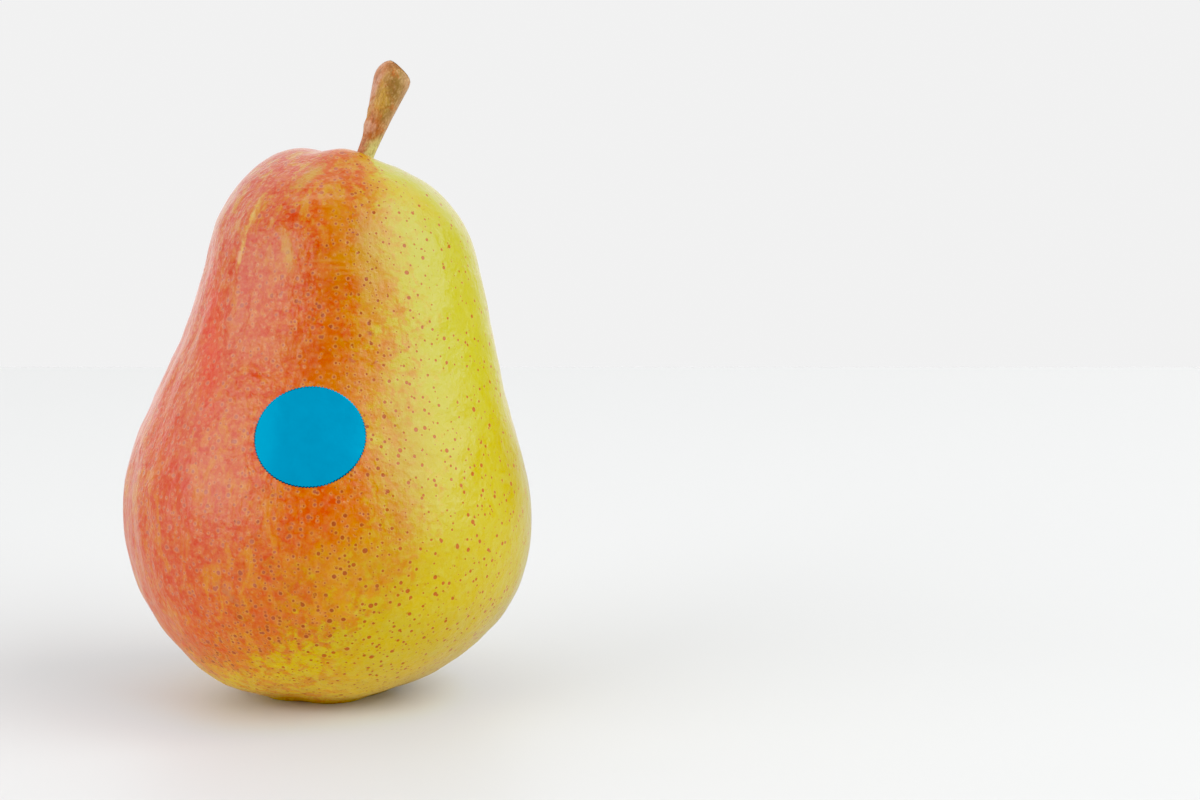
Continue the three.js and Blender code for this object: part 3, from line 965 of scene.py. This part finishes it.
def label_form(settings, skin):
    """A thin oval film with a finely toothed edge, laid on the skin point by point."""
    rows = [(ring / LABEL_RINGS, 0) for ring in range(LABEL_RINGS + 1)]
    form, ring_number = spun(rows, 2 * LABEL_TEETH)
    rim = form.verts.layers.float.new("rim")

    tree = BVHTree.FromObject(skin, bpy.context.evaluated_depsgraph_get())
    yaw = Matrix.Rotation(LABEL_YAW, 3, "Z")
    facing = Vector((0, -math.cos(LABEL_PITCH), math.sin(LABEL_PITCH)))
    facing.rotate(yaw)
    tilt = yaw @ Matrix.Rotation(math.pi / 2 - LABEL_PITCH, 3, "X")
    tilt = tilt @ Matrix.Rotation(LABEL_ROLL, 3, "Z")

    def skin_from(start, direction):
        """Where a ray from a point meets the skin, in mm round the core, and the skin's normal."""
        point, normal, _, _ = tree.ray_cast((start - CORE) * MM, direction)
        if point is None:
            raise RuntimeError("the label hangs over the edge of the fruit")
        return point / MM + CORE, normal

    x, height = LABEL_AT
    middle, _ = skin_from(Vector((x, LABEL_AIM_START, height)), Vector((0, 1, 0)))
    half = Vector((settings.length / MM / 2, settings.height / MM / 2, 0))
    even, patchy, lower = LABEL_RIM_SHADOW_AND_GLUE
    for vertex in form.verts:
        angle = math.atan2(vertex.co.y, vertex.co.x)
        flat = Vector((half.x * vertex.co.x, half.y * vertex.co.y, 0))
        if vertex[ring_number] == LABEL_RINGS:
            tooth = round(angle / TURN * 2 * LABEL_TEETH) % 2
            flat *= 1 - tooth * LABEL_TOOTH_DEPTH / half.y
            patch = noise.noise(Vector((2 * math.cos(angle), 2 * math.sin(angle), 0)))
            # Painted shadow under the edge, with the bared glue, darkens the rim, more at the lower
            # edge.
            rim_shadow_and_glue = even + patchy * patch + lower * math.sin(angle)
            vertex[rim] = (0.5 + 0.5 * tooth) * min(max(rim_shadow_and_glue, 0), 1)
        point, normal = skin_from(middle + tilt @ flat + facing * LABEL_DROP, -facing)
        vertex.co = point + normal * LABEL_LIFT
    bmesh.ops.recalc_face_normals(form, faces=form.faces)
    form.normal_update()
    form.faces.ensure_lookup_table()
    if form.faces[0].normal.dot(facing) < 0:
        bmesh.ops.reverse_faces(form, faces=form.faces)
    bmesh.ops.solidify(form, geom=form.faces[:], thickness=settings.thickness / MM)
    return form


def floor_form():
    """The flat floor, turned to the camera so that its far edge lies level."""
    form = bmesh.new()
    bmesh.ops.create_grid(form, x_segments=FLOOR_SEGMENTS, y_segments=FLOOR_SEGMENTS, size=0.5)
    size = (2 * FLOOR_HALF_WIDTH, FLOOR_BACK - FLOOR_FRONT, 1)
    bmesh.ops.scale(form, verts=form.verts, vec=size)
    middle = (0, (FLOOR_BACK + FLOOR_FRONT) / 2, -FLOOR_DROP)
    bmesh.ops.translate(form, verts=form.verts, vec=middle)
    gaze = (CAMERA_AIM - CAMERA_AT).xy
    turn = Matrix.Rotation(-math.atan2(gaze.x, gaze.y), 3, "Z")
    bmesh.ops.rotate(form, verts=form.verts, matrix=turn)
    return form


# ---- Studio ----


def set_tones(scene):
    """Shows the light of the scene along the tone curve."""
    scene.view_settings.view_transform = "Standard"
    scene.view_settings.use_curve_mapping = True
    tones = scene.view_settings.curve_mapping
    darkest, brightest = TONE_CURVE[0][0], TONE_CURVE[-1][0]
    tones.black_level = (darkest,) * 3
    tones.white_level = (brightest,) * 3
    first, *between, last = (
        ((light - darkest) / (brightest - darkest), shown) for light, shown in TONE_CURVE
    )
    points = tones.curves[3].points
    points[0].location = first
    points[1].location = last
    for spot in between:
        points.new(*spot)
    tones.update()


def set_camera(scene):
    """Looks at the pear from the front, a little from above."""
    camera = bpy.data.objects.new("camera", bpy.data.cameras.new("camera"))
    camera.data.lens = CAMERA_LENS
    camera.data.clip_start = CAMERA_CLIP * MM
    camera.location = CAMERA_AT * MM
    camera.rotation_euler = (CAMERA_AIM - CAMERA_AT).to_track_quat("-Z", "Y").to_euler()
    scene.collection.objects.link(camera)
    scene.camera = camera


def hang_softboxes(scene, strength):
    """Lights the pear with a large softbox from each side."""
    for name, bearing, elevation, roll, distance, (width, height), radiance in SOFTBOXES:
        light = bpy.data.lights.new(name, "AREA")
        light.shape = "RECTANGLE"
        light.size = width
        light.size_y = height
        light.energy = radiance * width * height * math.pi * strength
        softbox = bpy.data.objects.new(name, light)
        bearing, elevation = math.radians(bearing), math.radians(elevation)
        level = math.cos(elevation)
        x, y = math.sin(bearing) * level, -math.cos(bearing) * level
        towards = Vector((x, y, math.sin(elevation)))
        softbox.location = towards * distance + SOFTBOX_AIM
        roll = Matrix.Rotation(math.radians(roll), 3, "Z")
        turn = towards.to_track_quat("Z", "Y").to_matrix() @ roll
        softbox.rotation_euler = turn.to_euler()
        softbox.visible_camera = False
        scene.collection.objects.link(softbox)


def light_walls(scene):
    """Pale walls: brighter behind the pear, dark where they are mirrored but for the upper left
    at the back, and even where they are seen.
    """
    scene.world = bpy.data.worlds.new("pale_studio")
    scene.world.use_nodes = True
    scene.world.node_tree.nodes.clear()
    add = partial(add_node, scene.world.node_tree)
    direction = add("TexCoord").outputs["Generated"]
    rear = add("VectorMath", direction, (0, 0.8, 0.6), operation="DOT_PRODUCT")
    left_rear = add("VectorMath", direction, (-0.15, 0.8, 0.58), operation="DOT_PRODUCT")
    rise = add("SeparateXYZ", direction).outputs["Z"]
    lit, mirrored, seen = (
        add("Background", "FFFFFF", add("MapRange", *brightness))
        for brightness in (
            (rear, 0.3, 0.6, 0.7, 1.15),
            (left_rear, 0.5, 0.65, 0.08, 1.6),
            (rise, 0, 0.1, 1.012, 1.046),
        )
    )
    path = add("LightPath")
    light = add("MixShader", path.outputs["Is Glossy Ray"], lit, mirrored)
    add("OutputWorld", add("MixShader", path.outputs["Is Camera Ray"], light, seen))


# ---- Operators ----


class PEAR_OT_fruit(bpy.types.Operator):
    """Build the fruit with its skin"""

    bl_idname = "pear.fruit"
    bl_label = "Build Fruit"

    def execute(self, context):
        settings = context.scene.pear_fruit
        piece = make_piece("fruit_skin", fruit_form(settings), skin_material(settings))
        dress(piece, "fruit")
        return {"FINISHED"}


class PEAR_OT_stem(bpy.types.Operator):
    """Build the woody stem"""

    bl_idname = "pear.stem"
    bl_label = "Build Stem"

    def execute(self, context):
        settings = context.scene.pear_stem
        piece = make_piece("stem_bark", stem_form(settings), bark_material(settings))
        dress(piece, "stem")
        return {"FINISHED"}


class PEAR_OT_calyx(bpy.types.Operator):
    """Build the dried calyx under the fruit"""

    bl_idname = "pear.calyx"
    bl_label = "Build Calyx"

    def execute(self, context):
        settings = context.scene.pear_calyx
        piece = make_piece("calyx_husk", calyx_form(settings), husk_material(settings))
        dress(piece, "calyx")
        return {"FINISHED"}


class PEAR_OT_label(bpy.types.Operator):
    """Lay the plain oval label on the skin. Build the fruit first"""

    bl_idname = "pear.label"
    bl_label = "Build Label"

    def execute(self, context):
        settings = context.scene.pear_label
        skin = bpy.data.objects.get("fruit_skin")
        if skin is None:
            raise RuntimeError("build the fruit before its label")
        piece = make_piece("label_film", label_form(settings, skin), film_material(settings))
        dress(piece, "sticker")
        return {"FINISHED"}


class PEAR_OT_stage(bpy.types.Operator):
    """Set up the floor, the light and the camera"""

    bl_idname = "pear.stage"
    bl_label = "Build Stage"

    def execute(self, context):
        settings = context.scene.pear_stage
        form = floor_form()
        make_piece("pale_floor", form, floor_material(settings), smooth=False)
        set_tones(context.scene)
        set_camera(context.scene)
        hang_softboxes(context.scene, settings.light_strength)
        light_walls(context.scene)
        return {"FINISHED"}


# ---- Panel ----


class PEAR_PT_build(bpy.types.Panel):
    bl_idname = "PEAR_PT_build"
    bl_label = "Pear"
    bl_space_type = "VIEW_3D"
    bl_region_type = "UI"
    bl_category = "Pear"

    def draw(self, context):
        for group, _, operator in PIECES:
            box = self.layout.box()
            settings = getattr(context.scene, group)
            for name in settings.bl_rna.properties.keys():
                if name not in ("rna_type", "name"):
                    box.prop(settings, name)
            box.operator(operator.bl_idname)


PIECES = [
    ("pear_fruit", FruitSettings, PEAR_OT_fruit),
    ("pear_stem", StemSettings, PEAR_OT_stem),
    ("pear_calyx", CalyxSettings, PEAR_OT_calyx),
    ("pear_label", LabelSettings, PEAR_OT_label),
    ("pear_stage", StageSettings, PEAR_OT_stage),
]
CLASSES = [*(one for _, *pair in PIECES for one in pair), PEAR_PT_build]


def register():
    for one in CLASSES:
        bpy.utils.register_class(one)
    for group, settings, _ in PIECES:
        setattr(bpy.types.Scene, group, bpy.props.PointerProperty(type=settings))


def unregister():
    for group, _, _ in PIECES:
        delattr(bpy.types.Scene, group)
    for one in reversed(CLASSES):
        bpy.utils.unregister_class(one)


def main():
    register()
    bpy.ops.pear.fruit()
    bpy.ops.pear.stem()
    bpy.ops.pear.calyx()
    bpy.ops.pear.label()
    bpy.ops.pear.stage()


if __name__ == "__main__":
    main()
